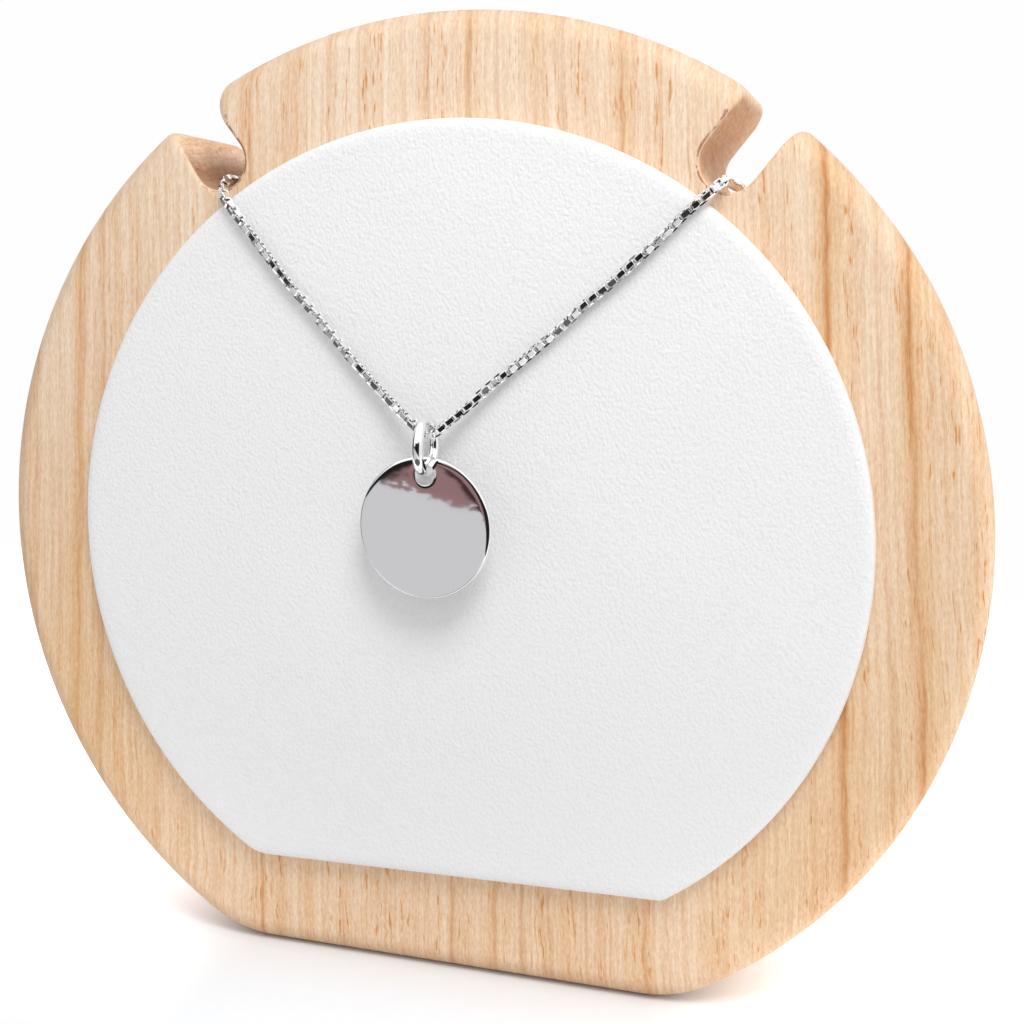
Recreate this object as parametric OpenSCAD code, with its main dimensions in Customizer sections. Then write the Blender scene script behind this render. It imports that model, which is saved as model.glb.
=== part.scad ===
// Medallion necklace on a round wooden display stand.
// X runs to the right, Y to the back and Z up, with the origin in the middle of the base.
// The board stands on its flat edge. The chain lies over the two slots, hangs in a V over
// the padded front, goes down the back and meets at the clasp on the surface behind.

/* [Board] */
// Diameter of the round board
board_d = 126; // [120:0.5:132]
// Thickness of the board
board_t = 20.8; // [18:0.1:20.8]
// Height of the board's centre above the flat edge it stands on
board_centre_z = 55.8; // [54:0.1:57]
// Radius in the outline where the flat edge meets the round one
base_corner_r = 15.7; // [10:0.1:18]
// Rounding of the board's outer edges
edge_r = 3; // [1.5:0.1:3.5]

/* [Slots] */
// Distance from the middle line to the centre of each slot's round end
slot_x = 31.65; // [31.4:0.05:31.9]
// Height of the centre of each slot's round end
slot_z = 101.15; // [101:0.05:101.4]
// Radius of each slot's round end
slot_r = 3.45; // [3.3:0.05:3.5]
// Slope of the right slot's wall on the middle lobe, from the horizontal
inner_wall_deg = 52.5; // [51:0.5:55]
// Slope of the right slot's wall on the side lobe, from the horizontal
outer_wall_deg = 52; // [49:0.5:53]
// Slope of the left slot's wall on the middle lobe, from the horizontal
left_inner_wall_deg = 51.5; // [50:0.5:54]
// Slope of the left slot's wall on the side lobe, from the horizontal
left_outer_wall_deg = 57; // [50:0.5:58]
// Radius in the outline of three of the lobes' tips
tip_r = 1.4; // [1.2:0.1:2]
// Radius in the outline of the middle lobe's left tip, which is worn rounder
left_tip_r = 2.7; // [1.4:0.1:4]
// How far the middle lobe's left half bulges outwards
left_bulge = 0.6; // [0.6:0.1:1]
// How far the middle lobe's right half bulges outwards, less than 0 where it is cut back
right_bulge = -0.3; // [-0.5:0.1:0]
// Rounding of the slots' own edges
slot_edge_r = 0.5; // [0.3:0.1:0.8]

/* [Pad] */
// Diameter of the round leatherette pad
pad_d = 100.4; // [96:0.2:100.6]
// Height of the pad's straight lower edge, in the middle
pad_flat_z = 13.3; // [10:0.1:16]
// Turn of the pad, whose lower edge isn't quite level
pad_turn_deg = 1.3; // [0:0.1:2]
// Thickness of the pad in front of the board
pad_t = 2; // [1:0.1:2]
// Rounding of the pad's front edge
pad_edge_r = 0.9; // [0.3:0.1:0.9]

/* [Medallion] */
// Diameter of the disc
disc_d = 17; // [15:0.1:17.4]
// Thickness of the disc
disc_t = 0.9; // [0.7:0.05:1]
// Rounding of the disc's edges
disc_edge_r = 0.25; // [0.1:0.05:0.3]
// Diameter of the hole for the jump ring
hole_d = 2.45; // [2.3:0.05:3]
// Metal left between the hole and the rim
hole_margin = 0.95; // [0.8:0.05:1]
// Turn of the disc about the upright line through its hole
disc_turn_deg = -5; // [-6:1:0]

/* [Jump ring] */
// Outer diameter of the ring
ring_d = 7.26; // [7.2:0.02:7.4]
// Diameter of the ring's wire
ring_wire_d = 1.36; // [1.2:0.02:1.4]

/* [Chain] */
// Width of the box chain, corner to corner
chain_d = 1.25; // [1:0.05:1.25]

/* [Clasp] */
// Outer diameter of the spring ring
clasp_d = 6.4; // [6:0.1:6.6]
// Thickness of the spring ring's tube
clasp_tube_d = 1.3; // [1.1:0.1:1.4]

/* [Hidden] */

board_r = board_d / 2;
front_y = -board_t / 2;
pad_r = pad_d / 2;
pad_gap = 0.05;
pad_front_y = front_y - pad_gap - pad_t;

// Steps along the parts of the right half of the board's outline, from the base to the top
corner_steps = 6;
side_steps = 46;
tip_steps = 6;
wall_steps = 3;
slot_end_steps = [4, 10];
lobe_steps = 15;
// Steps round each rounded edge
edge_steps = 4;

// The pendant hangs where the chain is lowest
pendant_x = -1.7;
disc_x = -1.65;
chain_low = [pendant_x, -15.55, 69.25];
ring_wire_r = ring_wire_d / 2;
ring_r = ring_d / 2 - ring_wire_r;
pad_clear = 0.15;
ring_y = pad_front_y - pad_clear - ring_d / 2;
ring_z = 67.9;
hang_gap = 0.13;
hole_r = hole_d / 2;
hole_z = ring_z - ring_r + ring_wire_r + hang_gap - hole_r;
disc_r = disc_d / 2;
hole_offset = disc_r - hole_margin - hole_r;

chain_sides = 8;
chain_r = chain_d / 2;
// Where the chain crosses the slots, from the middle line
left_slot_x = -30.6;
right_slot_x = 31.4;
// From the clasp to the front of a slot: share of the slot's x, then y and z
hidden_run = [
    [0.17, 27.0, 0.7], [0.40, 26.4, 0.7], [0.66, 24.0, 0.7], [0.88, 20.0, 0.7],
    [1.00, 15.5, 0.8], [1.01, 12.8, 1.9], [1.00, 11.5, 4.5], [1.00, 11.3, 10],
    [1.00, 11.3, 38], [1.00, 11.3, 66], [1.00, 11.3, 92], [1.00, 11.3, 97.2],
    [1.00, 10.9, 98.6], [1.00, 9.6, 99.0], [1.00, 0, 99.0], [1.00, -9.4, 99.0]];
// From the left slot down to the jump ring
left_run = [
    [-30.5, -10.5, 98.95], [-30.3, -11.4, 98.4], [-30.1, -12.3, 97.5],
    [-29.5, -13.0, 96.5], [-28.6, -13.2, 95.6], [-27.8, -13.2, 94.6],
    [-24.8, -13.2, 91.2], [-20.8, -13.2, 86.5], [-17.9, -13.2, 83.5],
    [-14.6, -13.2, 80.0], [-11.9, -13.3, 77.1], [-8.8, -13.6, 74.3],
    [-6.2, -14.2, 72.1], [-4.2, -14.8, 70.6], [-2.9, -15.3, 69.7],
    [-2.3, -15.5, 69.35]];
// From the jump ring up to the right slot
right_run = [
    [-1.1, -15.5, 69.35], [-0.4, -15.2, 69.9], [0.7, -14.8, 70.9],
    [3.0, -14.1, 73.0], [5.4, -13.5, 75.1], [8.0, -13.2, 77.5],
    [11.4, -13.2, 80.3], [15.8, -13.2, 84.5], [19.7, -13.2, 87.7],
    [24.3, -13.2, 92.1], [27.4, -13.2, 95.3], [29.2, -13.05, 96.9],
    [30.4, -12.3, 98.1], [31.1, -11.3, 98.8], [31.4, -10.5, 99.0]];

// The clasp lies on the surface between the chain's ends
clasp_y = 27;
clasp_wire_r = clasp_tube_d / 2;
clasp_r = clasp_d / 2 - clasp_wire_r;
eyelet_wire_r = 0.3;
eyelet_r = 0.75;
eyelet_overlap = 0.3;

function unit(v) = v / norm(v);
function from_deg(a) = [cos(a), sin(a)];

function arc(c, r, from, to, steps) =
    [for (i = [0:steps]) c + r * from_deg(from + (to - from) * i / steps)];

function after_first(points) = [for (i = [1:len(points) - 1]) points[i]];

// Centre of a tip's arc, which touches a slot's wall and the lobe's outer arc from inside
function tip_centre(slot, away, along, r, lobe, lobe_r) =
    let (start = slot + away * r, v = start - lobe, b = v * along, reach = lobe_r - r)
    start + (sqrt(b * b - v * v + reach * reach) - b) * along;

// Half of the board's outline, as seen on the right, in two runs: from the base to the
// slot's lowest point, and from there over the middle lobe to the top. The outer edge is
// moved in by inset, and the slot's walls back by slot_inset.
function half_runs(inset, slot_inset, inner_deg, outer_deg, inner_tip_r, bulge) =
    let (middle = [0, board_centre_z],
         lobe = [bulge, board_centre_z],
         outer_r = board_r - inset,
         end_r = slot_r + slot_inset,
         corner = [sqrt(pow(board_r - base_corner_r, 2)
                        - pow(board_centre_z - base_corner_r, 2)), base_corner_r],
         corner_deg = atan2(corner.y - middle.y, corner.x),
         slot = [slot_x, slot_z],
         outer_n = from_deg(outer_deg + 90),
         inner_n = from_deg(inner_deg + 90),
         outer_foot = slot - end_r * outer_n,
         inner_foot = slot + end_r * inner_n,
         side_tip = tip_centre(outer_foot, -outer_n, from_deg(outer_deg), tip_r,
                               middle, outer_r),
         top_tip = tip_centre(inner_foot, inner_n, from_deg(inner_deg), inner_tip_r,
                              lobe, outer_r),
         side_tip_deg = atan2(side_tip.y - middle.y, side_tip.x),
         top_tip_deg = atan2(top_tip.y - lobe.y, top_tip.x - lobe.x))
    [concat(
        arc(corner, base_corner_r - inset, -90, corner_deg, corner_steps),
        after_first(arc(middle, outer_r, corner_deg, side_tip_deg, side_steps)),
        after_first(arc(side_tip, tip_r, side_tip_deg, outer_deg + 90, tip_steps)),
        between(side_tip + tip_r * outer_n, outer_foot),
        arc(slot, end_r, outer_deg - 90, -90, slot_end_steps[0])),
     concat(
        after_first(arc(slot, end_r, -90, inner_deg - 270, slot_end_steps[1])),
        between(inner_foot, top_tip - inner_tip_r * inner_n),
        arc(top_tip, inner_tip_r, inner_deg - 90, top_tip_deg, tip_steps),
        after_first(arc(lobe, outer_r, top_tip_deg, 90, lobe_steps)))];

// The points inside a straight wall from p to q
function between(p, q) = [for (i = [1:wall_steps - 1]) p + (q - p) * i / wall_steps];

// The whole outline, anticlockwise from the base's right end
function outline(inset, slot_inset) =
    let (right = half_runs(inset, slot_inset, inner_wall_deg, outer_wall_deg, tip_r,
                           right_bulge),
         left = half_runs(inset, slot_inset, left_inner_wall_deg, left_outer_wall_deg,
                          left_tip_r, left_bulge),
         left_half = concat(left[0], left[1]))
    concat(right[0], right[1], [for (p = reversed(left_half)) [-p.x, p.y]]);

// How far an edge of radius e is rounded off at a depth behind the face
function rounded_off(e, depth) =
    depth < e ? e - sqrt(e * e - pow(e - depth, 2)) : 0;

// One ring of the board's skin, at a depth behind the front or back face
function board_ring(face_y, inward, depth) =
    [for (p = outline(rounded_off(edge_r, depth), rounded_off(slot_edge_r, depth)))
        [p.x, face_y + inward * depth, p.y]];

// Points inside the outline that see their part of it: side lobe, middle lobe, side lobe
hubs = [[40, 60], [0, 85], [-40, 60]];

// Faces that close a flat face of the board. at is its first outline point and hub its
// first hub; the fans round neighbouring hubs meet at the slots' lowest points.
function flat_faces(at, hub) =
    let (last = len(outline(0, 0)) - 1,
         seam = corner_steps + side_steps + tip_steps + wall_steps - 1
                + slot_end_steps[0] + 1)
    concat(
        [for (i = [0:last - 1])
            [at + i, at + i + 1, hub + (i < seam ? 0 : i < last - seam ? 1 : 2)]],
        [[hub, at + seam, hub + 1], [hub + 1, at + last - seam, hub + 2],
         [at, hub, hub + 1, hub + 2, at + last]]);

// Faces of a skin over rings of n points each
function skin_faces(rings, n) =
    concat(
        [for (j = [0:rings - 2], i = [0:n - 1])
            let (k = (i + 1) % n) [j * n + i, j * n + k, (j + 1) * n + k]],
        [for (j = [0:rings - 2], i = [0:n - 1])
            let (k = (i + 1) % n) [j * n + i, (j + 1) * n + k, (j + 1) * n + i]]);

// Direction of a path at one of its points
function heading(path, i) =
    unit(path[min(i + 1, len(path) - 1)] - path[max(i - 1, 0)]);

// Sideways directions carried along a path without twist
function carried(path, i, side) =
    i == len(path) ? [] :
    let (t = heading(path, i), s = unit(side - (side * t) * t))
    concat([s], carried(path, i + 1, s));

function hidden_half(x) = [for (p = hidden_run) [x * p[0], p[1], p[2]]];
function reversed(path) = [for (i = [len(path) - 1:-1:0]) path[i]];

chain_route = concat(hidden_half(left_slot_x), left_run, [chain_low], right_run,
                     reversed(hidden_half(right_slot_x)));

// The whole chain as one thin tube along its route
module tube(path, r, sides) {
    across = carried(path, 0, [0, 0, 1]);
    points = [for (i = [0:len(path) - 1], k = [0:sides - 1])
        let (a = 360 * k / sides, s = across[i])
        path[i] + r * (cos(a) * s + sin(a) * cross(s, heading(path, i)))];
    ends = [[for (k = [sides - 1:-1:0]) k],
            [for (k = [0:sides - 1]) (len(path) - 1) * sides + k]];
    polyhedron(points, concat(skin_faces(len(path), sides), ends));
}

// A round wire bent into a closed ring, flat in the XY plane
module wire_ring(r, wire_r) {
    rotate_extrude($fn = 96)
        translate([r, 0])
            circle(r = wire_r, $fn = 32);
}

// Half section of a round plate whose top edge, or both edges, are rounded
module plate_section(r, t, e, both = false) {
    translate([0, both ? e : 0])
        square([r, both ? t - 2 * e : t - e]);
    square([r - e, t]);
    for (y = both ? [e, t - e] : [t - e])
        translate([r - e, y])
            circle(r = e, $fn = 32);
}

// The round board with a flat base and a slot on each side of its middle lobe
module stand_board() {
    depths = [for (i = [0:edge_steps]) edge_r * (1 - cos(90 * i / edge_steps))];
    rings = concat(
        [for (depth = depths) board_ring(front_y, 1, depth)],
        [for (depth = reversed(depths)) board_ring(-front_y, -1, depth)]);
    n = len(rings[0]);
    last_ring = (len(rings) - 1) * n;
    front_hub = len(rings) * n;
    points = concat(
        [for (ring = rings) each ring],
        [for (h = hubs) [h.x, front_y, h.y]],
        [for (h = hubs) [h.x, -front_y, h.y]]);
    faces = concat(
        skin_faces(len(rings), n),
        [for (f = flat_faces(0, front_hub)) reversed(f)],
        flat_faces(last_ring, front_hub + len(hubs)));
    color("burlywood")
        polyhedron(points, faces);
}

// The leatherette pad glued on the board's front
module pad() {
    drop = (board_centre_z - pad_flat_z) * cos(pad_turn_deg);
    color("whitesmoke")
        translate([0, front_y - pad_gap, board_centre_z])
            rotate([90, -pad_turn_deg, 0])
                intersection() {
                    rotate_extrude($fn = 180)
                        plate_section(pad_r, pad_t, pad_edge_r);
                    translate([pad_r, pad_r, 0])
                        rotate([90, 0, -90])
                            linear_extrude(pad_d)
                                plate_section(pad_r + drop, pad_t, pad_edge_r);
                }
}

// The box chain, from one side of the clasp round to the other
module chain() {
    color("silver")
        tube(chain_route, chain_r, chain_sides);
}

// The ring that carries the disc on the chain, edge on to the board
module jump_ring() {
    color("silver")
        translate([pendant_x, ring_y, ring_z])
            rotate([0, 90, 0])
                wire_ring(ring_r, ring_wire_r);
}

// The plain polished disc, hanging by its hole from the jump ring
module medallion() {
    color("gainsboro")
        translate([disc_x, ring_y, hole_z - hole_offset])
            rotate([90, 0, disc_turn_deg])
                difference() {
                    translate([0, 0, -disc_t / 2])
                        rotate_extrude($fn = 128)
                            plate_section(disc_r, disc_t, disc_edge_r, both = true);
                    translate([0, hole_offset, 0])
                        cylinder(r = hole_r, h = 2 * disc_t, center = true, $fn = 64);
                }
}

// A spring ring with an eyelet on each side for the ends of the chain
module clasp() {
    eyelet_x = clasp_r + clasp_wire_r + eyelet_r + eyelet_wire_r - eyelet_overlap;
    color("silver")
        translate([0, clasp_y, clasp_wire_r + 0.05]) {
            wire_ring(clasp_r, clasp_wire_r);
            for (side = [-1, 1])
                translate([side * eyelet_x, 0, 0])
                    wire_ring(eyelet_r, eyelet_wire_r);
        }
}

stand_board();
pad();
chain();
jump_ring();
medallion();
clasp();
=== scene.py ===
"""Looks of a medallion necklace on its round wooden display stand.

Sizes are in millimetres, as in the part's source, and become metres where a mesh is made.
"""

import bpy
import numpy as np
from mathutils import Matrix, Vector


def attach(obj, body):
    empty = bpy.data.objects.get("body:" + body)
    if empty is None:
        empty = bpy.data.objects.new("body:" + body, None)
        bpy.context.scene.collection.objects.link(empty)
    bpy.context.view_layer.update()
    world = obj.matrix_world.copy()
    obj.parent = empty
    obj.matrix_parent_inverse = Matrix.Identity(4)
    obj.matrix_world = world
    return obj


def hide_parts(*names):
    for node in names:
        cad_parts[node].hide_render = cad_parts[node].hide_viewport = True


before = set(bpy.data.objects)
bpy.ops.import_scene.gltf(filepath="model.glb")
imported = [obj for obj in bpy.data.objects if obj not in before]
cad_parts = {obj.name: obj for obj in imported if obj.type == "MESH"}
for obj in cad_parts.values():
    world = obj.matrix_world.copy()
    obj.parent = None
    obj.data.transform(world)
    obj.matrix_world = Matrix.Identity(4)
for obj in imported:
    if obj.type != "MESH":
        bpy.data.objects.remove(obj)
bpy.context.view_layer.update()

MM = 0.001
scene = bpy.context.scene


# --- Camera -------------------------------------------------------------------------------
# A long lens close to the stand, a little to its right and above it, held slightly out of
# level. Its place comes from the board's outline and the slots' walls in the photograph.
camera_place = Vector((56.645, -178.069, 86.188)) * MM
camera_azimuth, camera_height, camera_roll = np.radians([16.39, 8.568, 1.414])
backward = np.array([
    np.sin(camera_azimuth) * np.cos(camera_height),
    -np.cos(camera_azimuth) * np.cos(camera_height),
    np.sin(camera_height)])
level_right = np.cross(-backward, [0, 0, 1])
level_right /= np.linalg.norm(level_right)
level_up = np.cross(level_right, -backward)
right = np.cos(camera_roll) * level_right + np.sin(camera_roll) * level_up
up = np.cross(backward, right)

camera_data = bpy.data.cameras.new("camera")
camera_data.lens = 51.5625
camera_data.sensor_width = 36
camera_data.clip_start = 0.01
camera_data.clip_end = 20
camera = bpy.data.objects.new("camera", camera_data)
turn = Matrix([list(row) for row in np.stack([right, up, backward], axis=1)])
camera.matrix_world = Matrix.Translation(camera_place) @ turn.to_4x4()
scene.collection.objects.link(camera)
scene.camera = camera


# --- Studio -------------------------------------------------------------------------------
# A bright white tent with a pale card low in front and, above its ragged edge, a dark opening
# where the photographer stands. The polished metal shows them. Two soft lamps, one above the
# camera and one at the right, give the faint shadows and don't show in the metal.
scene.view_settings.view_transform = "Standard"


def node(tree, kind, inputs=None, **settings):
    """Adds a shader node. An input is a number, a colour or the socket that feeds it."""
    made = tree.nodes.new("ShaderNode" + kind)
    for name, value in settings.items():
        setattr(made, name, value)
    for name, value in (inputs or {}).items():
        if isinstance(value, bpy.types.NodeSocket):
            tree.links.new(value, made.inputs[name])
        else:
            made.inputs[name].default_value = value
    return made


def math(tree, operation, *values):
    """The result of one Math node on numbers or sockets."""
    return node(tree, "Math", dict(enumerate(values)), operation=operation).outputs[0]


def ramped(tree, value, low, high, start=0.0, end=1.0):
    """The value's smooth step from start, at low, to end, at high."""
    return node(tree, "MapRange", {"Value": value, "From Min": low, "From Max": high,
                                   "To Min": start, "To Max": end},
                interpolation_type="SMOOTHSTEP").outputs["Result"]


def mixed(tree, share, first, second, blend="MIX"):
    """The colour that lies the given share of the way from the first to the second."""
    made = node(tree, "Mix", data_type="RGBA", blend_type=blend)
    for socket, value in zip([made.inputs[0], made.inputs[6], made.inputs[7]],
                             [share, first, second]):
        if isinstance(value, bpy.types.NodeSocket):
            tree.links.new(value, socket)
        else:
            socket.default_value = value
    return made.outputs[2]


def times(tree, first, *others):
    """The product of numbers or sockets."""
    for other in others:
        first = math(tree, "MULTIPLY", first, other)
    return first


def plus(tree, first, *others):
    """The sum of numbers or sockets."""
    for other in others:
        first = math(tree, "ADD", first, other)
    return first


def grey(level):
    return (level, level, level, 1)


tent_low, tent_high = grey(0.85), grey(1.2)
card_left, card_right = (0.615, 0.61, 0.63, 1), grey(0.92)
side_flag, foot_flag = grey(0.10), grey(0.12)
opening_black, opening_brown = (0.018, 0.014, 0.014, 1), (0.29, 0.17, 0.17, 1)
streak_brown = (0.035, 0.014, 0.014, 1)
even_light, backdrop_white = grey(0.655), grey(0.992)

studio = bpy.data.worlds.new("studio")
studio.use_nodes = True
scene.world = studio
tree = studio.node_tree
tree.nodes.clear()
# A direction's parts, to the right, to the back and up, place everything in the tent
direction = node(tree, "TexCoord").outputs["Generated"]
toward = node(tree, "SeparateXYZ", {"Vector": direction})
x, y, z = (toward.outputs[name] for name in "XYZ")
swept = node(tree, "Mapping", {"Vector": direction, "Scale": (0.35, 0.35, 1.0),
                               "Rotation": (0, -0.3, 0)}).outputs[0]
ragged = node(tree, "TexNoise", {"Vector": swept, "Scale": 210, "Detail": 4,
                                 "Roughness": 0.65}).outputs["Fac"]

# The opening reaches from the card's sloping edge to a little above the level. A door of the
# tent's own white closes it at the upper left
card_slope, card_tooth = 0.3622, 0.026
above_card = plus(tree, times(tree, x, card_slope), plus(tree, z, times(tree, ragged, card_tooth)))
opening = times(tree, ramped(tree, above_card, -0.3038, -0.3033), ramped(tree, z, 0.3, 0.2),
                ramped(tree, y, -0.45, -0.62))
door = times(tree, ramped(tree, z, 0.02, 0.06), ramped(tree, x, -0.36, -0.42))
opening = times(tree, opening, math(tree, "SUBTRACT", 1, door))

# The tent, the card, a dark flag at the far left and another low in front
tent = mixed(tree, ramped(tree, z, -0.3, 0.5), tent_low, tent_high)
card = times(tree, ramped(tree, y, -0.2, -0.4), ramped(tree, z, 0.0, -0.05))
around = mixed(tree, card, tent, mixed(tree, ramped(tree, x, 0.0, 0.3), card_left, card_right))
at_side = times(tree, ramped(tree, x, -0.78, -0.86), ramped(tree, z, 0.75, 0.6),
                ramped(tree, y, 0.15, 0.05))
around = mixed(tree, at_side, around, side_flag)
at_foot = times(tree, ramped(tree, z, -0.64, -0.7), ramped(tree, y, -0.15, -0.25))
around = mixed(tree, at_foot, around, foot_flag)

# Inside the opening: black but for a brown strip left of its middle, and in the strip one thin
# bent streak, which is part of a circle about a point
left_slope, left_tooth = -1.23, 0.03
leftmost = ramped(tree, math(tree, "MULTIPLY_ADD", z, left_slope,
                             plus(tree, x, times(tree, ragged, left_tooth))), -0.334, -0.346)
band = times(tree, ramped(tree, z, -0.06, -0.03),
             ramped(tree, math(tree, "MULTIPLY_ADD", x, 0.5, z), -0.05, -0.09))
band = math(tree, "MAXIMUM", band, ramped(tree, x, -0.43, -0.41))
inside = mixed(tree, math(tree, "MAXIMUM", leftmost, band), opening_brown, opening_black)
bend_x, bend_z, bend_r, streak_tooth = -0.5408, -0.1933, 0.0978, 0.008
from_bend = math(tree, "SQRT", plus(
    tree, math(tree, "POWER", math(tree, "SUBTRACT", x, bend_x), 2),
    math(tree, "POWER", math(tree, "SUBTRACT", z, bend_z), 2)))
off_streak = math(tree, "ABSOLUTE", math(tree, "MULTIPLY_ADD", ragged, streak_tooth,
                                         math(tree, "SUBTRACT", from_bend, bend_r)))
streak = times(tree, ramped(tree, off_streak, 0.0030, 0.0012), ramped(tree, x, -0.495, -0.475))
inside = mixed(tree, streak, inside, streak_brown)

# Reflections show the tent. Soft light comes evenly from all sides, and the camera sees white
seen = mixed(tree, opening, around, inside)
ray = node(tree, "LightPath").outputs
seen = mixed(tree, ray["Is Diffuse Ray"], seen, even_light)
seen = mixed(tree, ray["Is Camera Ray"], seen, backdrop_white)
surroundings = node(tree, "Background", {"Color": seen, "Strength": 1.0})
node(tree, "OutputWorld", {"Surface": surroundings.outputs[0]})


def soft_lamp(name, place, aim, size, watts):
    """A square lamp at a place, turned so that its face looks at the point it is aimed at."""
    data = bpy.data.lights.new(name, "AREA")
    data.shape = "SQUARE"
    data.size = size * MM
    data.energy = watts
    lamp = bpy.data.objects.new(name, data)
    place, aim = Vector(place) * MM, Vector(aim) * MM
    lamp.rotation_euler = (aim - place).to_track_quat("-Z", "Y").to_euler()
    lamp.location = place
    lamp.visible_glossy = False
    scene.collection.objects.link(lamp)


stand_middle = (0, 0, 60)
soft_lamp("key_lamp", (95, -165, 300), stand_middle, 130, 0.52)
soft_lamp("side_lamp", (460, 40, 150), stand_middle, 240, 0.35)


# --- Floor --------------------------------------------------------------------------------
# Plain white card under the stand, with a very faint tooth. It ends before the tent's opening,
# so the polished disc looks past it. Beside and behind the stand's foot it glows faintly, so
# that it comes out nearly white there.
def put_mesh(name, points, faces, marks=None, closed=True, smooth=True):
    """Makes a piece from points in mm and arrays of faces. Where the volume that they close,
    the sum of the tetrahedra from each face to the origin, is negative, all faces turn round.
    Marks are numbers on the points, for the materials. An open flat piece isn't turned."""
    points = np.asarray(points, float).reshape(-1, 3)
    volume = 0
    for group in faces:
        for k in range(1, group.shape[1] - 1):
            a, b, c = (points[group[:, i]] for i in (0, k, k + 1))
            volume += np.einsum("ij,ij->", a, np.cross(b, c))
    if closed and volume < 0:
        faces = [group[:, ::-1] for group in faces]
    mesh = bpy.data.meshes.new(name)
    mesh.from_pydata(points * MM, [], [face for group in faces for face in group.tolist()])
    mesh.update()
    mesh.shade_smooth() if smooth else mesh.shade_flat()
    for mark, values in (marks or {}).items():
        layer = mesh.attributes.new(mark, "FLOAT", "POINT")
        layer.data.foreach_set("value", np.asarray(values, np.float32).ravel())
    piece = bpy.data.objects.new(name, mesh)
    scene.collection.objects.link(piece)
    return piece


def material(name, roughness, metallic=0.0):
    """A new material with one shader, and the nodes to wire to it."""
    made = bpy.data.materials.new(name)
    made.use_nodes = True
    shader = made.node_tree.nodes["Principled BSDF"]
    shader.inputs["Roughness"].default_value = roughness
    shader.inputs["Metallic"].default_value = metallic
    return made, made.node_tree, shader


floor_half_x, floor_half_y, floor_middle_y, floor_columns = 330, 156, 116, 96
floor_turn = np.linspace(0, 2 * np.pi, floor_columns, endpoint=False)
floor_edge = np.stack([floor_half_x * np.cos(floor_turn),
                       floor_middle_y + floor_half_y * np.sin(floor_turn),
                       np.zeros(floor_columns)], axis=1)
floor = put_mesh("studio_floor", floor_edge, [np.arange(floor_columns)[None]], closed=False)
floor_card, tree, shader = material("floor_card", 0.9)
place = node(tree, "TexCoord").outputs["Object"]
spots = node(tree, "TexNoise", {"Vector": place, "Scale": 900, "Detail": 2}).outputs["Fac"]
tree.links.new(mixed(tree, spots, (0.90, 0.925, 0.96, 1), (0.93, 0.955, 0.99, 1)),
               shader.inputs["Base Color"])
across = node(tree, "SeparateXYZ", {"Vector": place})
beside = ramped(tree, math(tree, "ABSOLUTE", across.outputs["X"]), 0.025, 0.05)
around = math(tree, "MAXIMUM", beside, ramped(tree, across.outputs["Y"], -0.005, 0.02))
floor_glow = 0.6
shader.inputs["Emission Color"].default_value = grey(1)
tree.links.new(times(tree, around, floor_glow), shader.inputs["Emission Strength"])
floor.data.materials.append(floor_card)


# --- Wooden board -------------------------------------------------------------------------
# One round board of pale ash, sawn flat at the base and routed with two slots, its edges
# sanded round and the face lightly oiled. The grain runs upright.
board_r, board_t, board_z = 63.0, 20.8, 55.8
base_corner_r, edge_r = 15.7, 3.0
slot_x, slot_z, slot_r, slot_edge_r = 31.65, 101.15, 3.45, 0.5
front_y = -board_t / 2
# Each slot's inner and outer wall in degrees from level, the radius of the middle lobe's tip
# there, and how far that side of the middle lobe stands out
right_slot, left_slot = (52.5, 52, 1.4, -0.3), (51.5, 57, 2.7, 0.6)


def from_deg(angle):
    return np.array([np.cos(np.radians(angle)), np.sin(np.radians(angle))])


def arc(centre, r, start, end, steps):
    """Points on a circle about the centre, from one angle to another in even steps."""
    a = np.radians(np.linspace(start, end, steps + 1))
    return np.asarray(centre) + r * np.stack([np.cos(a), np.sin(a)], axis=1)


def tip_centre(foot, away, along, r, lobe, lobe_r):
    """Centre of a lobe's tip: a circle of radius r that touches the slot's wall, which starts
    at foot, and lies inside the lobe's circle and touches it."""
    start = foot + away * r
    v = start - lobe
    b = v @ along
    return start + (np.sqrt(b * b - v @ v + (lobe_r - r) ** 2) - b) * along


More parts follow.
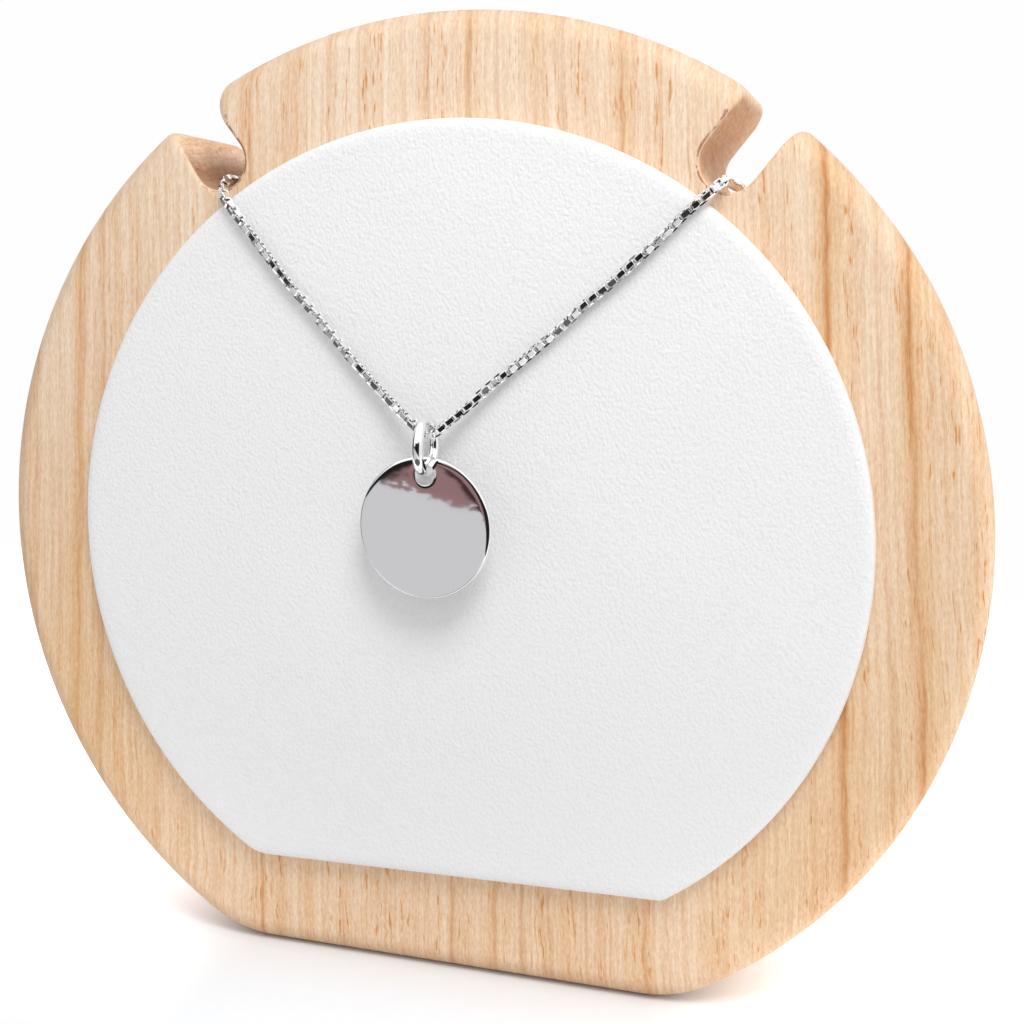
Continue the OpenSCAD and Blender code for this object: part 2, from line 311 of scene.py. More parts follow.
def half_outline(inset, slot_inset, inner_deg, outer_deg, inner_tip_r, bulge):
    """Half the outline, seen on the right, from the base up to the top: corner arc, side arc,
    tip, slot wall, round slot end, wall, tip, lobe arc. The second result is 1 on the slot,
    and the third grows along the slot towards the middle lobe, where its edge is rougher."""
    middle, lobe = np.array([0, board_z]), np.array([bulge, board_z])
    outer_r, end_r, tip_r = board_r - inset, slot_r + slot_inset, 1.4
    corner = np.array([np.sqrt((board_r - base_corner_r) ** 2
                               - (board_z - base_corner_r) ** 2), base_corner_r])
    slot = np.array([slot_x, slot_z])
    outer_n, inner_n = from_deg(outer_deg + 90), from_deg(inner_deg + 90)
    outer_foot, inner_foot = slot - end_r * outer_n, slot + end_r * inner_n
    side = tip_centre(outer_foot, -outer_n, from_deg(outer_deg), tip_r, middle, outer_r)
    top = tip_centre(inner_foot, inner_n, from_deg(inner_deg), inner_tip_r, lobe, outer_r)

    def angle(point, centre):
        return np.degrees(np.arctan2(point[1] - centre[1], point[0] - centre[0]))

    def wall(p, q, steps=14):
        return p + (q - p) * np.linspace(0, 1, steps + 1)[:, None]

    corner_end, side_end, top_end = angle(corner, middle), angle(side, middle), angle(top, lobe)
    runs = [
        (arc(corner, base_corner_r - inset, -90, corner_end, 26), 0),
        (arc(middle, outer_r, corner_end, side_end, 190)[1:], 0),
        (arc(side, tip_r, side_end, outer_deg + 90, 14)[1:], None),
        (wall(side + tip_r * outer_n, outer_foot)[1:-1], 1),
        (arc(slot, end_r, outer_deg - 90, inner_deg - 270, 44), 1),
        (wall(inner_foot, top - inner_tip_r * inner_n)[1:-1], 1),
        (arc(top, inner_tip_r, inner_deg - 90, top_end, 14), None),
        (arc(lobe, outer_r, top_end, 90, 62)[1:], 0)]
    cut, on_slot, ragged = [], 0, []
    for points, share in runs:
        if share is None:
            share = np.clip(np.linspace(-0.6, 1.2, len(points)), 0, 1)
            share = share if on_slot == 0 else share[::-1]
        cut.append(np.broadcast_to(share, len(points)))
        on_slot = cut[-1][-1]
    for k, (points, _) in enumerate(runs):
        ragged.append(np.linspace(0.4, 1, len(points)) if k == 4
                      else np.full(len(points), 0.4 if k < 4 else 1))
    return (np.concatenate([points for points, _ in runs]), np.concatenate(cut),
            np.concatenate(ragged))


def outline(inset, slot_inset):
    """The whole outline, anticlockwise from the base's right end to its left end."""
    right_half = half_outline(inset, slot_inset, *right_slot)
    left_half = [part[:-1][::-1] for part in half_outline(inset, slot_inset, *left_slot)]
    left_half[0] = left_half[0] * [-1, 1]
    return [np.concatenate(pair) for pair in zip(right_half, left_half)]


def rounded_off(e, depth):
    """How far an edge of radius e is rounded off at a depth behind the face."""
    return e - np.sqrt(max(0, e * e - (e - depth) ** 2)) if depth < e else 0


def ring_faces(rings, n, closed=False):
    """Four-sided faces between neighbouring rings of n points each."""
    j = np.arange(rings if closed else rings - 1)[:, None]
    i = np.arange(n)[None]
    k, after = (i + 1) % n, (j + 1) % rings
    return np.stack([j * n + i, j * n + k, after * n + k, after * n + i],
                    axis=-1).reshape(-1, 4)


# A ring's depth behind its face, and how far it lies inside the outline beyond the rounding
board_rings = [(0, 0.4), (0, 0.2), (0, 0), (0.03, 0), (0.1, 0), (0.2, 0), (0.35, 0), (0.5, 0),
               (0.8, 0), (1.2, 0), (1.8, 0), (2.4, 0), (3.0, 0), (5.5, 0), (8.2, 0)]
# Marks on the points, for the material: the slots' walls, the line along their edges, and how much
# painted shade the board's rounded edge takes, most at the left and the foot, less at the top
wall_from, wall_over, line_from, line_to = 0.2, 0.3, 0.03, 0.1
skin, wall_marks, rim_marks, edge_shade_marks = [], [], [], []
for face_y, inward in ((front_y, 1), (-front_y, -1)):
    for depth, further in board_rings[::inward]:
        line, cut, ragged = outline(rounded_off(edge_r, depth) + further,
                                    rounded_off(slot_edge_r, depth) + further)
        skin.append(np.stack([line[:, 0], np.full(len(line), face_y + inward * depth),
                              line[:, 1]], axis=1))
        wall_marks.append(cut * np.clip((depth - wall_from) / wall_over, 0, 1))
        rim_marks.append(cut * ragged * (line_from <= depth <= line_to))
        ahead = np.roll(line, -1, axis=0) - np.roll(line, 1, axis=0)
        ahead /= np.linalg.norm(ahead, axis=1)[:, None]
        low_side = np.clip(0.1 - 0.8 * ahead[:, 1] + 0.8 * ahead[:, 0], 0, 1)
        top_side = np.clip(-0.65 * ahead[:, 0], 0, 0.55)
        around_edge = min(depth / edge_r, 1) ** 0.5
        edge_shade_marks.append((1 - cut) * np.maximum(low_side, top_side) * around_edge)
ring_count, ring_points = len(skin), len(skin[0])
# A point inside each lobe, for the fans that close the flat faces, and where on the outline
# each slot's lowest point is
hubs = np.array([[40, 60], [0, 85], [-40, 60]])
hub_points = [[hub[0], y_at, hub[1]] for y_at in (front_y, -front_y) for hub in hubs]
on_slots = outline(0, 0)[1] == 1
lowest = [int(np.argmin(np.where(on_slots & (skin[0][:, 0] * side > 0), skin[0][:, 2], 999)))
          for side in (1, -1)]


def flat_face(at, hub):
    """Fans that close a flat face: each stretch of the outline, between the slots' lowest
    points, looks to the hub inside its own lobe."""
    i = np.arange(ring_points - 1)
    whose = hub + (i >= lowest[0]) * 1 + (i >= lowest[1]) * 1
    return np.concatenate([
        np.stack([at + i, at + i + 1, whose], axis=1),
        [[hub, at + lowest[0], hub + 1], [hub + 1, at + lowest[1], hub + 2],
         [at + ring_points - 1, at, hub], [at + ring_points - 1, hub, hub + 2],
         [hub, hub + 1, hub + 2]]])


first_hub = ring_count * ring_points
board = put_mesh(
    "wooden_board", np.concatenate(skin + [hub_points]),
    [ring_faces(ring_count, ring_points),
     flat_face(0, first_hub)[:, ::-1],
     flat_face((ring_count - 1) * ring_points, first_hub + 3)],
    {"slot_wall": np.concatenate(wall_marks + [np.zeros(len(hub_points))]),
     "slot_rim": np.concatenate(rim_marks + [np.zeros(len(hub_points))]),
     "turned": np.concatenate(edge_shade_marks + [np.zeros(len(hub_points))])})

# The warm bands, thin lines and dark lines that stand out in the grain: place across the board
# at its middle height, half width and strength
grain_lines = [
    [(-52.0, 2.0, 0.5), (-46.0, 1.2, 0.3), (-20.0, 1.6, 0.35), (4.0, 2.2, 0.3),
     (12.5, 2.0, 0.35), (22.6, 1.6, 0.4), (46.2, 2.4, 0.7), (55.4, 1.8, 0.7)],
    [(-58.6, 0.35, 0.3), (-51.9, 0.5, 0.5), (-48.7, 0.6, 0.65), (-44.7, 0.3, 0.55),
     (-33.0, 0.3, 0.35), (-26.5, 0.3, 0.6), (-20.7, 0.3, 0.4), (-15.4, 0.25, 0.3),
     (-10.8, 0.3, 0.45), (-5.2, 0.25, 0.35)],
    [(-1.4, 0.3, 0.7), (3.9, 0.3, 0.65), (7.6, 0.3, 0.7), (10.9, 0.25, 0.5),
     (15.4, 0.25, 0.5), (22.6, 0.3, 0.65), (45.9, 0.6, 1.0), (51.7, 0.35, 0.5),
     (54.9, 0.55, 1.0)]]

line_tints = [(0.74, 0.43, 0.19, 1), (0.60, 0.24, 0.045, 1), (0.54, 0.19, 0.03, 1)]
pale, straw, honey = (0.85, 0.68, 0.52, 1), (0.83, 0.63, 0.455, 1), (0.80, 0.54, 0.32, 1)
late_wood, pore_brown = (0.76, 0.47, 0.265, 1), (0.64, 0.26, 0.06, 1)
burnt = (0.32, 0.11, 0.025, 1)
# What the wood's colour is multiplied by on the slots' walls, for their darker cut wood and
# painted shade, and for the painted shade on the rounded edge
left_wall_top, left_wall_shaded = (1.04, 0.95, 0.88, 1), (0.50, 0.36, 0.26, 1)
right_wall, edge_shade_tint = (0.89, 0.75, 0.59, 1), (0.56, 0.47, 0.38, 1)

oiled_ash, tree, shader = material("oiled_ash", 0.5)
place = node(tree, "TexCoord").outputs["Object"]
across = node(tree, "SeparateXYZ", {"Vector": place})
x, y, z = (math(tree, "MULTIPLY", across.outputs[name], 1000) for name in "XYZ")
slot_wall, slot_rim, painted_edge_shade = (
    node(tree, "Attribute", attribute_name=mark).outputs["Fac"]
    for mark in ("slot_wall", "slot_rim", "turned"))

# The growth layer that a point is in, in mm across the board: the layers lean with height, most
# at the right, and wander a little
wander = node(tree, "TexNoise", {"Vector": place, "Scale": 32, "Detail": 3}).outputs["Fac"]
shiver = node(tree, "TexNoise", {"Vector": place, "Scale": 260, "Detail": 1}).outputs["Fac"]
wander_mm, shiver_mm, shift_with_depth = 2.4, 0.35, 0.12
lean = times(tree, math(tree, "SUBTRACT", z, board_z),
             math(tree, "MINIMUM", math(tree, "MULTIPLY_ADD", x, 0.0015, 0.05),
                  math(tree, "MULTIPLY_ADD", x, 0.0008, 0.05)))
layer = plus(tree, x, lean, math(
    tree, "MULTIPLY_ADD", wander, wander_mm,
    math(tree, "MULTIPLY_ADD", shiver, shiver_mm, times(tree, y, shift_with_depth))))


def streaks(layer_scale, height_scale, detail, roughness=0.5, seed=0.0, depth_share=0.06):
    """Noise drawn out along the grain: layer_scale and height_scale cells to the millimetre."""
    drawn = node(tree, "CombineXYZ", {
        "X": math(tree, "MULTIPLY", layer, layer_scale),
        "Y": math(tree, "MULTIPLY_ADD", y, layer_scale * depth_share, seed),
        "Z": math(tree, "MULTIPLY", z, height_scale)}).outputs[0]
    return node(tree, "TexNoise", {"Vector": drawn, "Scale": 1, "Detail": detail,
                                   "Roughness": roughness}).outputs["Fac"]


broad = streaks(0.09, 0.006, 2)
medium = streaks(0.55, 0.012, 3, 0.6, 7)
fine = streaks(2.6, 0.055, 3, 0.75, 13)
pores = streaks(3.0, 0.3, 2, 0.6, 21, 0.4)
fade = streaks(0.25, 0.03, 2, 0.5, 31)
grit = streaks(4.4, 1.3, 2, 0.7, 43)
rough_cut = node(tree, "TexNoise", {"Vector": place, "Scale": 1400, "Detail": 3}).outputs["Fac"]

# Pale wood that grows warmer towards the foot and the sides, with streaks and short pores
colour = mixed(tree, ramped(tree, broad, 0.35, 0.65), pale, straw)
warm = times(tree, ramped(tree, z, 104, 18),
             ramped(tree, math(tree, "ABSOLUTE", x), 25, 60, 0.45, 0.95))
warm = math(tree, "MAXIMUM", warm, ramped(tree, x, 20, 62, 0, 0.55))
colour = mixed(tree, warm, colour, honey)
colour = mixed(tree, ramped(tree, medium, 0.40, 0.70, 0, 0.5), colour, late_wood)
flecks = times(tree, ramped(tree, medium, 0.40, 0.60, 0.15, 1), ramped(tree, x, -60, -25, 0.4, 1),
               ramped(tree, pores, 0.59, 0.68), ramped(tree, painted_edge_shade, 0, 0.3, 0.9, 0.2))
colour = mixed(tree, flecks, colour, pore_brown)

# Each list of grain lines is one colour ramp over the layers, grey by the lines' strength
half_span = 64
line_place = node(tree, "MapRange", {"Value": layer, "From Min": -half_span,
                                     "From Max": half_span}).outputs[0]
unbroken = times(tree, ramped(tree, fade, 0.36, 0.52, 0.62, 1),
                 ramped(tree, pores, 0.35, 0.55, 0.7, 1))
for lines, tint in zip(grain_lines, line_tints):
    ramp = node(tree, "ValToRGB", {"Fac": line_place})
    stops = [stop for u, half, strength in lines
             for stop in ((u - half, 0), (u, strength), (u + half, 0))]
    band = ramp.color_ramp
    while len(band.elements) < len(stops):
        band.elements.new(0.5)
    for element, (u, strength) in zip(band.elements, stops):
        element.position = (u + half_span) / (2 * half_span)
        element.color = grey(strength)
    colour = mixed(tree, times(tree, unbroken, ramp.outputs["Color"]), colour, tint)

# The slots' walls, darker cut wood with painted shade that deepens towards the left slot's bottom,
# the burnt line along their edges, and painted shade on the board's rounded edge
left_wall = mixed(tree, ramped(tree, z, 104, 99.5), left_wall_top, left_wall_shaded)
wall_colour_and_shade = mixed(tree, ramped(tree, x, 0, 1), left_wall, right_wall)
colour = mixed(tree, slot_wall, colour, mixed(tree, 1.0, colour, wall_colour_and_shade, "MULTIPLY"))
rim_line = times(tree, slot_rim, ramped(tree, rough_cut, 0.40, 0.58, 0.35, 1))
colour = mixed(tree, ramped(tree, rim_line, 0.2, 0.8, 0, 0.8), colour, burnt)
# Painted shade on the board's rounded edge, where it turns away from the light
colour = mixed(tree, painted_edge_shade, colour, mixed(tree, 1.0, colour, edge_shade_tint, "MULTIPLY"))

# The colour plus the colour times tone, which is lighter or darker in the fine grain, darker
# towards the foot as painted shade, and changes the blue most
tone = plus(tree, ramped(tree, grit, 0.25, 0.75, 0.12, -0.12), ramped(tree, z, 45, 10, 0, -0.06),
            ramped(tree, fine, 0.25, 0.75, 0.14, -0.14))
tone = math(tree, "MULTIPLY_ADD", slot_wall, ramped(tree, rough_cut, 0.3, 0.7, 0.13, -0.13), tone)
tone = node(tree, "VectorMath", {0: (0.5, 1.0, 1.55), "Scale": tone}, operation="SCALE").outputs[0]
toned = node(tree, "VectorMath", {0: colour, 1: tone, 2: colour},
             operation="MULTIPLY_ADD").outputs[0]
tree.links.new(toned, shader.inputs["Base Color"])
tree.links.new(ramped(tree, medium, 0.3, 0.7, 0.5, 0.62), shader.inputs["Roughness"])
fibre = plus(tree, times(tree, rough_cut, 0.4), times(tree, flecks, -0.6), times(tree, fine, 0.6))
bump = node(tree, "Bump", {"Height": fibre, "Distance": 0.00005, "Strength": 0.3})
tree.links.new(bump.outputs[0], shader.inputs["Normal"])
board.data.materials.append(oiled_ash)
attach(board, "stand")
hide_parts("stand_board")


# --- Pad ----------------------------------------------------------------------------------
# A thin round pad with a straight lower edge, covered in white pebbled leatherette that is
# turned over its rim, and glued to the board. Its lower left corner is turned over thickly,
# which makes it rounder than the right one.
pad_r, pad_flat_z, pad_turn, pad_t, pad_gap = 50.2, 13.3, 1.3, 2.0, 0.05
pad_drop = (board_z - pad_flat_z) * np.cos(np.radians(pad_turn))
pad_columns, corner_left, corner_right, pad_slack = 720, 1.0, 0.3, 0.035
pad_deg = np.linspace(0, 360, pad_columns, endpoint=False)


def pad_reach(inset):
    """Distance from the pad's centre to its outline in each direction: the smaller of the
    distances to the circle and to the straight lower edge, blended where they are alike."""
    down = np.maximum(-np.sin(np.radians(pad_deg)), 1e-3)
    circle, chord = pad_r - inset, (pad_drop - inset) / down
    soft = np.where(np.cos(np.radians(pad_deg)) < 0, corner_left, corner_right)
    gap = np.clip(0.5 + 0.5 * (chord - circle) / soft, 0, 1)
    return chord + (circle - chord) * gap - soft * gap * (1 - gap)


# Inset from the outline and depth behind the pad's front, from the middle to the rim's back
pad_profile = [(1.9, 0.0), (1.4, 0.02), (1.05, 0.05), (0.75, 0.11), (0.5, 0.2), (0.3, 0.34),
               (0.15, 0.52), (0.05, 0.75), (0, 1.0), (0, 1.5), (0, 1.9), (0.1, 2.0)]
back_inset = 1.5
inner_share = np.sin(np.linspace(0.02, np.pi / 2, 60)) ** 0.9
edge_reach = pad_reach(pad_profile[0][0])
pad_rings = [(share * edge_reach, np.zeros(pad_columns)) for share in inner_share[:-1]]
pad_rings += [(pad_reach(inset), np.full(pad_columns, depth)) for inset, depth in pad_profile]
pad_rings.append((pad_reach(back_inset), np.full(pad_columns, pad_t)))
reach = np.array([r for r, _ in pad_rings])
depth = np.array([d for _, d in pad_rings])
a = np.radians(pad_deg + pad_turn)
pad_x, pad_z = reach * np.cos(a), reach * np.sin(a)
# The face waves a little, by up to twice the slack: two long sine waves multiplied
slack = pad_slack * (1 + np.sin(pad_x * 0.21 + 1.3 * np.sin(pad_z * 0.13))
                 * np.sin(pad_z * 0.17 + 0.6)) * (depth < 0.3)
pad_y = front_y - pad_gap - pad_t + depth + slack
pad_points = np.stack([pad_x, pad_y, pad_z + board_z], axis=-1).reshape(-1, 3)
middle_points = [[0, front_y - pad_gap - pad_t + pad_slack, board_z],
                 [0, front_y - pad_gap, board_z]]
rings = len(pad_rings)
i = np.arange(pad_columns)
k = (i + 1) % pad_columns
last = (rings - 1) * pad_columns
centre = rings * pad_columns
pad = put_mesh("leatherette_pad", np.concatenate([pad_points, middle_points]),
               [ring_faces(rings, pad_columns),
                np.stack([k, i, np.full(pad_columns, centre)], axis=1),
                np.stack([last + i, last + k, np.full(pad_columns, centre + 1)], axis=1)])

leather_cool, leather_white = (0.875, 0.875, 0.88, 1), (0.90, 0.90, 0.90, 1)
leather_shade_grey = (0.79, 0.785, 0.78, 1)
leatherette, tree, shader = material("white_leatherette", 0.6)
place = node(tree, "TexCoord").outputs["Object"]
flow = node(tree, "Mapping", {"Vector": place, "Rotation": (0, np.radians(35), 0),
                              "Scale": (1, 1, 0.75)}).outputs[0]
bend = node(tree, "TexNoise", {"Vector": flow, "Scale": 700, "Detail": 2}).outputs["Color"]
bend = node(tree, "VectorMath", {0: bend, 1: (0.0006, 0.0006, 0.0006)},
            operation="MULTIPLY").outputs[0]
bent = node(tree, "VectorMath", {0: flow, 1: bend}, operation="ADD").outputs[0]
cells = node(tree, "TexVoronoi", {"Vector": bent, "Scale": 2600, "Smoothness": 0.4},
             feature="SMOOTH_F1").outputs["Distance"]
creases = node(tree, "TexNoise", {"Vector": bent, "Scale": 3000, "Detail": 3,
                                  "Roughness": 0.6}).outputs["Fac"]
pebbles = plus(tree, times(tree, cells, -0.6), times(tree, creases, 1.1))

# White, with painted shade that makes it a little greyer towards the foot and in the creases
# between the pebbles
tint = node(tree, "TexNoise", {"Vector": place, "Scale": 40, "Detail": 2}).outputs["Fac"]
white = mixed(tree, tint, leather_cool, leather_white)
height = node(tree, "SeparateXYZ", {"Vector": place}).outputs["Z"]
white = mixed(tree, times(tree, ramped(tree, height, 0.055, 0.015), 0.4), white, leather_shade_grey)
white = mixed(tree, ramped(tree, pebbles, 0.35, 0.0, 0, 0.3), white, leather_shade_grey)
tree.links.new(white, shader.inputs["Base Color"])
tree.links.new(ramped(tree, creases, 0.3, 0.7, 0.5, 0.66), shader.inputs["Roughness"])
bump = node(tree, "Bump", {"Height": pebbles, "Distance": 0.00016, "Strength": 0.6})
tree.links.new(bump.outputs[0], shader.inputs["Normal"])
pad.data.materials.append(leatherette)
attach(pad, "stand")
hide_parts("pad")


# --- Box chain ----------------------------------------------------------------------------
# Fine silver box chain, 40 cm long: each link is a square band, turned a quarter against its
# neighbours and threaded through them. It lies over the slots and hangs in a V.
left_slot_x, right_slot_x = -30.6, 31.4
# The hidden run, from the clasp up the board's back and through a slot, with x as a share of
# the slot's place. Then the runs that show, from the left slot to the low point and on
hidden_run = np.array([
    [0.17, 27.0, 0.7], [0.40, 26.4, 0.7], [0.66, 24.0, 0.7], [0.88, 20.0, 0.7],
    [1.00, 15.5, 0.8], [1.01, 12.8, 1.9], [1.00, 11.5, 4.5], [1.00, 11.3, 10],
    [1.00, 11.3, 38], [1.00, 11.3, 66], [1.00, 11.3, 92], [1.00, 11.3, 97.2],
    [1.00, 10.9, 98.6], [1.00, 9.6, 99.0], [1.00, 0, 99.0], [1.00, -9.4, 99.0]])
left_run = [
    [-30.5, -10.5, 98.95], [-30.3, -11.4, 98.4], [-30.1, -12.3, 97.5],
    [-29.5, -13.0, 96.5], [-28.6, -13.2, 95.6], [-27.8, -13.2, 94.6],
    [-24.8, -13.2, 91.2], [-20.8, -13.2, 86.5], [-17.9, -13.2, 83.5],
    [-14.6, -13.2, 80.0], [-11.9, -13.3, 77.1], [-8.8, -13.6, 74.3],
    [-6.2, -14.2, 72.1], [-4.2, -14.8, 70.6], [-2.9, -15.3, 69.7],
    [-2.3, -15.5, 69.35]]
chain_low = [[-1.7, -15.55, 69.25]]
right_run = [
    [-1.1, -15.5, 69.35], [-0.4, -15.2, 69.9], [0.7, -14.8, 70.9],
    [3.0, -14.1, 73.0], [5.4, -13.5, 75.1], [8.0, -13.2, 77.5],
    [11.4, -13.2, 80.3], [15.8, -13.2, 84.5], [19.7, -13.2, 87.7],
    [24.3, -13.2, 92.1], [27.4, -13.2, 95.3], [29.2, -13.05, 96.9],
    [30.4, -12.3, 98.1], [31.1, -11.3, 98.8], [31.4, -10.5, 99.0]]
route = np.concatenate([hidden_run * [left_slot_x, 1, 1], left_run, chain_low, right_run,
                        (hidden_run * [right_slot_x, 1, 1])[::-1]])


def even_path(points, count, start, end):
    """Count points evenly spaced along a polyline, from start to end mm from its two ends,
    after its corners are cut: each pass puts points at 1/4 and 3/4 of every stretch."""
    for _ in range(2):
        a, b = points[:-1], points[1:]
        cut = np.stack([0.75 * a + 0.25 * b, 0.25 * a + 0.75 * b], axis=1).reshape(-1, 3)
        points = np.concatenate([points[:1], cut, points[-1:]])
    run = np.concatenate([[0], np.cumsum(np.linalg.norm(np.diff(points, axis=0), axis=1))])
    at = np.linspace(start, run[-1] - end, count)
    return np.stack([np.interp(at, run, points[:, k]) for k in range(3)], axis=1), at


link_count = 557
link_l, link_w, link_t = 1.16, 0.66, 0.2
centres, link_at = even_path(route, link_count, link_l / 2, link_l / 2)
along = np.gradient(centres, axis=0)
along /= np.linalg.norm(along, axis=1)[:, None]
side = np.zeros_like(along)
carried = np.array([0.0, 0.0, 1.0])
for link, direction in enumerate(along):
    carried = carried - (carried @ direction) * direction
    carried /= np.linalg.norm(carried)
    side[link] = carried
other = np.cross(along, side)
# The frame carried without twist ends turned by some angle, which the chain takes up evenly.
# Its flats look forward where it hangs, and there it rolls to and fro in a long and a short wave
forward_roll, fade_in = -0.46, 30
end_turn = np.arctan2(-other[-1, 2], side[-1, 2])
share = link_at / link_at[-1]
free = np.clip(np.minimum(link_at, link_at[-1] - link_at) / fade_in, 0, 1)
roll = (-end_turn * share + free * (0.24 * np.sin(link_at * 0.33 + 0.8)
                                    + 0.17 * np.sin(link_at * 0.86) + forward_roll))
roll = roll[:, None] + (np.arange(link_count) % 2 * np.pi / 2)[:, None]
axis_a = np.cos(roll) * side + np.sin(roll) * other
axis_b = np.cross(along, axis_a)
# Round the square: eight points, two at each corner. Band section: six points, the outside
# with its edges taken off
h, chamfer = link_l / 2, 0.16
square = np.array([[h, h - chamfer], [h - chamfer, h], [chamfer - h, h], [-h, h - chamfer],
                   [-h, chamfer - h], [chamfer - h, -h], [h - chamfer, -h], [h, chamfer - h]])
inner = 1 - link_t / h
half_w, off_out, off_in = 0.5 * link_w, 0.06, 0.05
section = np.array([[1.0, half_w - off_out], [1.0, off_out - half_w], [0.955, -half_w],
                    [inner, off_in - half_w], [inner, half_w - off_in], [0.955, half_w]])
link = np.stack([square[:, None, 0] * section[None, :, 0],
                 square[:, None, 1] * section[None, :, 0],
                 np.broadcast_to(section[:, 1], (len(square), len(section)))],
                axis=-1).reshape(-1, 3)
links = (centres[:, None] + link[None, :, :1] * along[:, None]
         + link[None, :, 1:2] * axis_b[:, None] + link[None, :, 2:] * axis_a[:, None])
link_faces = ring_faces(len(square), len(section), closed=True)
chain_points = links.reshape(-1, 3)
chain_faces = (link_faces[None]
               + len(link) * np.arange(link_count)[:, None, None]).reshape(-1, 4)


def wire_loop(path, wire_r, sides, normal):
    """A round wire along a closed flat path: each ring of points is the path's point plus the
    wire's radius times cos and sin of an angle, outwards and along the plane's normal."""
    ahead = np.roll(path, -1, axis=0) - np.roll(path, 1, axis=0)
    ahead /= np.linalg.norm(ahead, axis=1)[:, None]
    out = np.cross(ahead, normal)
    a = np.linspace(0, 2 * np.pi, sides, endpoint=False)[None, :, None]
    return (path[:, None] + wire_r * (np.cos(a) * out[:, None]
                                      + np.sin(a) * np.asarray(normal, float)))


# An oval end ring joins each end link to an eyelet of the clasp
clasp_y, clasp_z = 27.0, 0.7
end_x, end_half_l, end_half_w, end_wire_r, end_steps, end_sides = 4.95, 0.78, 0.45, 0.15, 24, 10
turn = np.linspace(0, 2 * np.pi, end_steps, endpoint=False)
parts, faces, at = [chain_points], [chain_faces], len(chain_points)
for sign in (-1, 1):
    oval = np.stack([sign * end_x + end_half_l * np.cos(turn), np.full(end_steps, clasp_y),
                     clasp_z + end_half_w * np.sin(turn)], axis=1)
    parts.append(wire_loop(oval, end_wire_r, end_sides, [0, 1, 0]).reshape(-1, 3))
    faces.append(ring_faces(end_steps, end_sides, closed=True) + at)
    at += end_steps * end_sides
chain = put_mesh("box_chain", np.concatenate(parts), faces, smooth=False)


def silver(name, roughness, wear=0.06, scale=260, hairline=0.25):
    """Polished metal whose gloss varies a little, with faint hairlines in its colour."""
    made, tree, shader = material(name, roughness, metallic=1.0)
    place = node(tree, "TexCoord").outputs["Object"]
    cloud = node(tree, "TexNoise", {"Vector": place, "Scale": scale, "Detail": 3}).outputs["Fac"]
    drawn = node(tree, "Mapping", {"Vector": place, "Scale": (1, 1, 0.08),
                                   "Rotation": (0, 0.5, 0)}).outputs[0]
    hairs = node(tree, "TexNoise", {"Vector": drawn, "Scale": scale * 14,
                                    "Detail": 2}).outputs["Fac"]
    tree.links.new(ramped(tree, cloud, 0.3, 0.7, roughness, roughness + wear),
                   shader.inputs["Roughness"])
    tone = mixed(tree, ramped(tree, hairs, 0.55, 0.75, 0, hairline), (0.93, 0.93, 0.935, 1),
                 (0.80, 0.80, 0.81, 1))
    tree.links.new(tone, shader.inputs["Base Color"])
    return made


chain.data.materials.append(silver("silver_chain", 0.08))
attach(chain, "stand")
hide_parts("chain")


# --- Jump ring ----------------------------------------------------------------------------
# A ring of thick silver wire, closed butt to butt, that carries the disc on the chain. Its
# ends meet low at the back, where the wire is a trace thinner.
pendant_x, ring_y, ring_z, ring_r, ring_wire_r = -1.7, -16.23, 67.9, 2.95, 0.68
ring_steps, ring_sides = 144, 40
joint_at, joint_w, joint_depth = np.radians(-42), 0.012, 0.05
a = np.linspace(0, 2 * np.pi, ring_steps, endpoint=False)
ring_path = np.stack([np.full(ring_steps, pendant_x), ring_y + ring_r * np.cos(a),
                      ring_z + ring_r * np.sin(a)], axis=1)
ring_wire = wire_loop(ring_path, ring_wire_r, ring_sides, [1, 0, 0])
from_joint = (a - joint_at + np.pi) % (2 * np.pi) - np.pi
pinch = 1 - joint_depth * np.exp(-from_joint ** 2 / joint_w ** 2)
ring_wire = ring_path[:, None] + (ring_wire - ring_path[:, None]) * pinch[:, None, None]
bail = put_mesh("jump_ring_wire", ring_wire, [ring_faces(ring_steps, ring_sides, closed=True)])
bail.data.materials.append(silver("silver_wire", 0.05))
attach(bail, "bail")
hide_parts("jump_ring")


# --- Medallion ----------------------------------------------------------------------------
# A plain silver disc, cut from sheet, drilled for the ring and mirror polished, so that its
# face falls away softly towards the rim and the hole.
disc_x, disc_r, disc_t, disc_edge_r = -1.65, 8.5, 0.9, 0.25
hole_r, hole_z, hole_offset, hole_edge = 1.225, 64.535, 6.325, 0.12
disc_turn, disc_columns = np.radians(-5), 256
# How far the polished face has fallen away at the rim and at the hole, and over what distance
rim_fall, hole_fall = (0.018, 0.10), (0.012, 0.12)
a = np.linspace(0, 2 * np.pi, disc_columns, endpoint=False)
circle = np.stack([np.cos(a), np.sin(a)], axis=1)
hole_centre = np.array([0, hole_offset])


def fall(distance, height, width):
    """How far the face has fallen at a distance from an edge: height, dying away."""
    return height * np.exp(-distance / width)


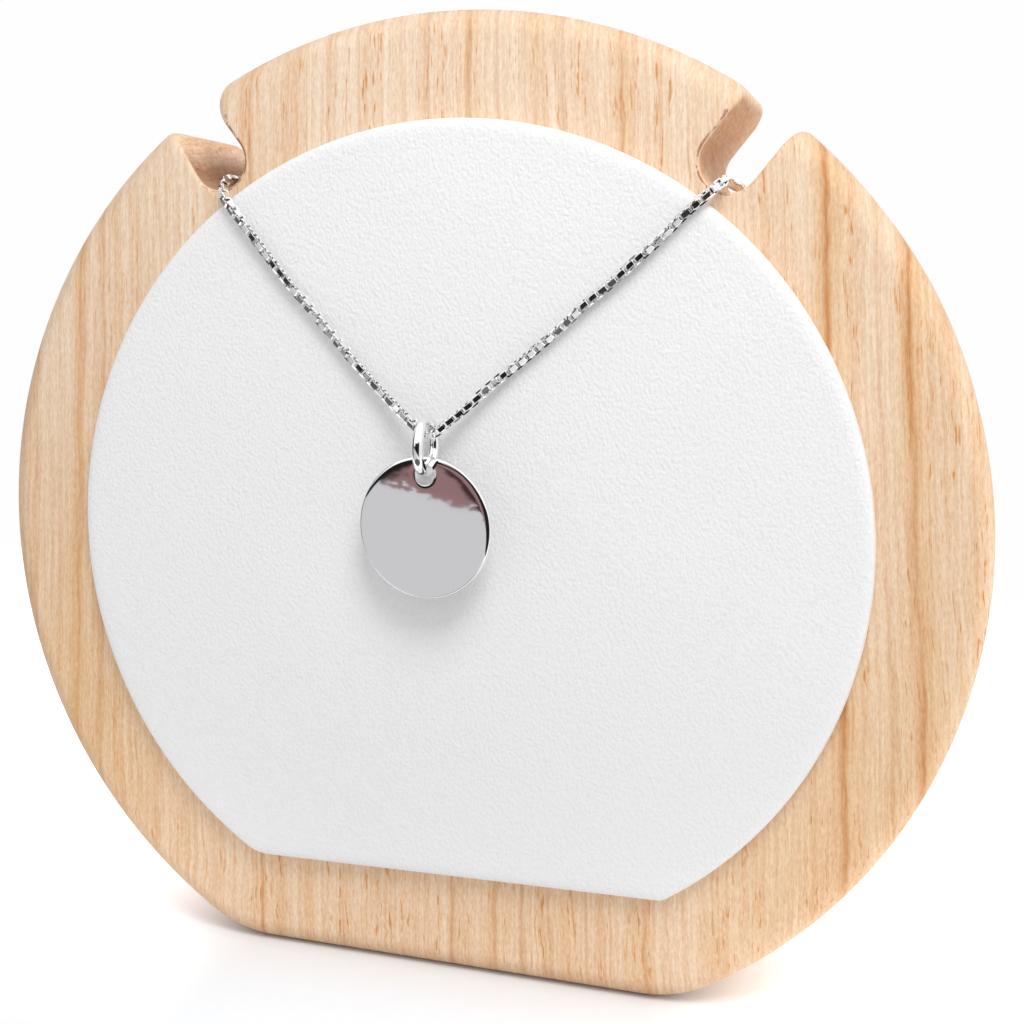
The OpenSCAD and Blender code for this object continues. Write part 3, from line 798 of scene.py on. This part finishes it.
corner_turn = np.radians(np.linspace(0, 90, 7))
face_share = 0.5 - 0.5 * np.cos(np.linspace(0, np.pi, 64))
disc_rings = []
for share in face_share:
    inner_ring = hole_centre + (hole_r + hole_edge) * circle
    outer_ring = (disc_r - disc_edge_r) * circle
    line = inner_ring + share * (outer_ring - inner_ring)
    from_rim = disc_r - np.linalg.norm(line, axis=1)
    from_hole = np.linalg.norm(line - hole_centre, axis=1) - hole_r
    depth = fall(from_rim - disc_edge_r, *rim_fall) + fall(from_hole - hole_edge, *hole_fall)
    disc_rings.append(np.stack([line[:, 0], depth, line[:, 1]], axis=1))
rim_depth, hole_depth = disc_rings[-1][0, 1], disc_rings[0][0, 1]
rim, hole = [], []
for b in corner_turn[1:]:
    rim_ring = (disc_r - disc_edge_r + disc_edge_r * np.sin(b)) * circle
    hole_ring = (hole_r + hole_edge - hole_edge * np.sin(b)) * circle
    rim.append(np.stack([rim_ring[:, 0],
                         np.full(disc_columns, rim_depth + disc_edge_r * (1 - np.cos(b))),
                         rim_ring[:, 1]], axis=1))
    hole.append(np.stack([hole_ring[:, 0],
                          np.full(disc_columns, hole_depth + hole_edge * (1 - np.cos(b))),
                          hole_offset + hole_ring[:, 1]], axis=1))
front_rings = hole[::-1] + disc_rings + rim
back_rings = [ring * [1, -1, 1] + [0, disc_t, 0] for ring in front_rings[::-1]]
disc_points = np.stack(front_rings + back_rings).reshape(-1, 3) - [0, disc_t / 2, 0]
turn = np.array([[np.cos(disc_turn), -np.sin(disc_turn), 0],
                 [np.sin(disc_turn), np.cos(disc_turn), 0], [0, 0, 1]])
disc_points = disc_points @ turn.T + [disc_x, ring_y, hole_z - hole_offset]
medallion = put_mesh("polished_disc_plate", disc_points,
                     [ring_faces(len(front_rings) * 2, disc_columns, closed=True)])
medallion.data.materials.append(
    silver("polished_disc", 0.015, wear=0.01, scale=120, hairline=0.05))
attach(medallion, "medallion")
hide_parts("medallion")


# --- Clasp --------------------------------------------------------------------------------
# A silver spring ring that closes the chain behind the stand: a bent tube, slimmer where its
# sliding wire shows, with a soldered eyelet on each side.
clasp_r, clasp_wire_r, clasp_steps, clasp_sides = 2.55, 0.65, 96, 24
slide_start, slide_end, slide_step, slide_less = 100, 162, 4, 0.22
eyelet_x, eyelet_r, eyelet_wire_r, eyelet_steps, eyelet_sides = 3.95, 0.75, 0.22, 40, 14
a = np.linspace(0, 2 * np.pi, clasp_steps, endpoint=False)
tube = np.stack([clasp_r * np.cos(a), clasp_y + clasp_r * np.sin(a),
                 np.full(clasp_steps, clasp_z)], axis=1)
tube_points = wire_loop(tube, clasp_wire_r, clasp_sides, [0, 0, 1])
b = np.degrees(a)
slim = 1 - (slide_less * np.clip((b - slide_start) / slide_step, 0, 1)
            * np.clip((slide_end - b) / slide_step, 0, 1))
tube_points = tube[:, None] + (tube_points - tube[:, None]) * slim[:, None, None]
parts, faces = [tube_points.reshape(-1, 3)], [ring_faces(clasp_steps, clasp_sides, closed=True)]
at = clasp_steps * clasp_sides
a = np.linspace(0, 2 * np.pi, eyelet_steps, endpoint=False)
for sign in (-1, 1):
    loop = np.stack([sign * eyelet_x + eyelet_r * np.cos(a), clasp_y + eyelet_r * np.sin(a),
                     np.full(eyelet_steps, clasp_z)], axis=1)
    parts.append(wire_loop(loop, eyelet_wire_r, eyelet_sides, [0, 0, 1]).reshape(-1, 3))
    faces.append(ring_faces(eyelet_steps, eyelet_sides, closed=True) + at)
    at += eyelet_steps * eyelet_sides
clasp = put_mesh("spring_ring_clasp", np.concatenate(parts), faces)
clasp.data.materials.append(bpy.data.materials["silver_wire"])
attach(clasp, "stand")
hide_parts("clasp")
